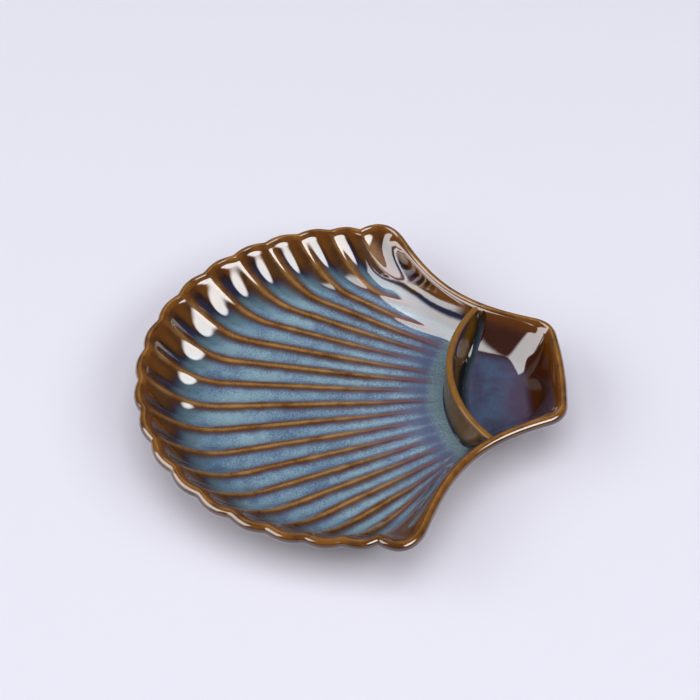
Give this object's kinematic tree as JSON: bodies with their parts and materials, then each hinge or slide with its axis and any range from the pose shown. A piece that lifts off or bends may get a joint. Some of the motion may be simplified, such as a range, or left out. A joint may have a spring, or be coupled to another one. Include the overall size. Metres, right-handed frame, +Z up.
{
  "type": "divided shell platter",
  "caption": "Glazed stoneware platter in the shape of a scallop shell: fluted floor, lobed rim, and a curved divider that closes off a sauce well at the hinge end.",
  "frame": {"origin": "centre of the outline's bounding box, on the surface the foot stands on", "axes": "+X from the fan to the sauce well, +Z up, +Y across to the left of +X"},
  "size_m": [0.2362, 0.2408, 0.0354],
  "materials": {
    "amber_glaze": "glossy amber-brown iron glaze, paler on edges",
    "blue_glaze": "glossy mottled blue reactive glaze",
    "pooled_glaze": "thick dark green-blue glass where the glaze pooled",
    "bare_stoneware": "unglazed, ground flat"
  },
  "bodies": {
    "root": {"shell_body": "amber_glaze", "divider_wall": "amber_glaze", "foot_ring": "bare_stoneware", "dish_glaze": "blue_glaze", "well_glaze": "blue_glaze", "dish_seam_bead": "pooled_glaze", "well_seam_bead": "pooled_glaze"}
  },
  "joints": []
}
